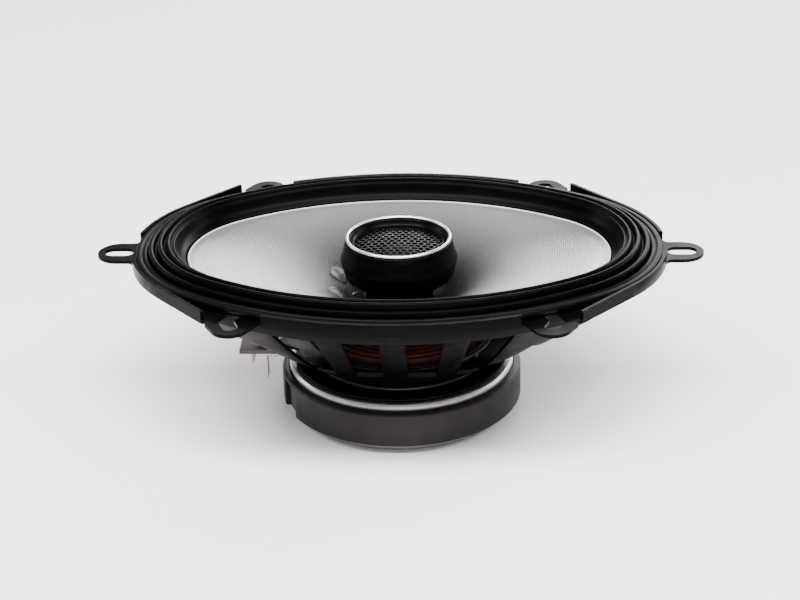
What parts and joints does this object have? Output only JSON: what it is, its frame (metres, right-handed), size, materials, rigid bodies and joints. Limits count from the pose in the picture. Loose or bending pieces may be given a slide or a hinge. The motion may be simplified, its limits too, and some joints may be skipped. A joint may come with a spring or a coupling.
{
  "type": "coaxial car speaker",
  "caption": "Oval coaxial car speaker: pressed steel frame with slotted lugs, woven flared cone, rubber roll surround and a tweeter on a post at its centre.",
  "frame": {"origin": "centre of the magnet's back face, on which the speaker lies", "axes": "+Z towards the listener along the cone's axis, +X along the oval's long side with the terminals on the -X side, +Y along its short side"},
  "size_m": [0.2126, 0.1348, 0.0644],
  "materials": {
    "black_steel": "satin black paint",
    "gasket_rubber": "matt",
    "surround_rubber": "semi gloss",
    "cone_weave": "silver woven glass fibre",
    "spider_cloth": "resin-treated cloth",
    "ring_board": "matt",
    "zinc_steel": "zinc plated",
    "ferrite": "sintered",
    "boot_rubber": "satin",
    "black_plastic": "satin moulded",
    "silver_trim": "satin",
    "black_screen": "satin black paint",
    "dome_film": "metallised film",
    "former_paper": "brown polyimide film",
    "copper_wire": "enamelled copper winding",
    "neodymium": "nickel plated",
    "fibre_board": "pressed paper laminate",
    "tinned_brass": "tinned",
    "lead_braid": "braided tinsel wire",
    "grey_adhesive": "satin",
    "capacitor_sleeve": "shrink sleeve",
    "foam": "closed cell"
  },
  "bodies": {
    "frame": {"basket": "black_steel", "front_gasket": "gasket_rubber", "surround": "surround_rubber", "spider": "spider_cloth", "spider_ring": "ring_board", "yoke": "zinc_steel", "ferrite_magnet": "ferrite", "top_plate": "zinc_steel", "seat_rivets": "zinc_steel", "magnet_boot": "boot_rubber", "tweeter_post": "black_plastic", "post_screw": "zinc_steel", "tweeter_barrel": "black_plastic", "tweeter_bezel": "silver_trim", "tweeter_grille": "black_screen", "tweeter_cup": "zinc_steel", "tweeter_magnet": "neodymium", "tweeter_pole_plate": "zinc_steel", "tweeter_faceplate": "black_plastic", "tweeter_surround": "dome_film", "terminal_board": "fibre_board", "terminal_positive": "tinned_brass", "terminal_negative": "tinned_brass", "terminal_rivets": "tinned_brass", "lead_positive": "lead_braid", "lead_negative": "lead_braid", "tweeter_lead_positive": "lead_braid", "tweeter_lead_negative": "lead_braid", "crossover_capacitor": "capacitor_sleeve", "capacitor_pad": "foam"},
    "cone_unit": {"cone": "cone_weave", "voice_coil_former": "former_paper", "voice_coil": "copper_wire", "neck_adhesive": "grey_adhesive", "lead_dab_upper": "grey_adhesive", "lead_dab_lower": "grey_adhesive"},
    "dome_unit": {"tweeter_dome": "dome_film", "tweeter_coil": "copper_wire"}
  },
  "joints": [
    {"name": "cone_travel", "type": "slide", "parent": "frame", "child": "cone_unit", "axis": [0, 0, 1], "range_m": [-0.0035, 0.0035], "stiffness_N_per_m": 900, "deforming": ["surround", "spider", "lead_positive", "lead_negative", "tweeter_lead_positive", "tweeter_lead_negative"]},
    {"name": "dome_travel", "type": "slide", "parent": "frame", "child": "dome_unit", "axis": [0, 0, 1], "range_m": [-0.0003, 0.0003], "stiffness_N_per_m": 250, "deforming": ["tweeter_surround"]}
  ]
}
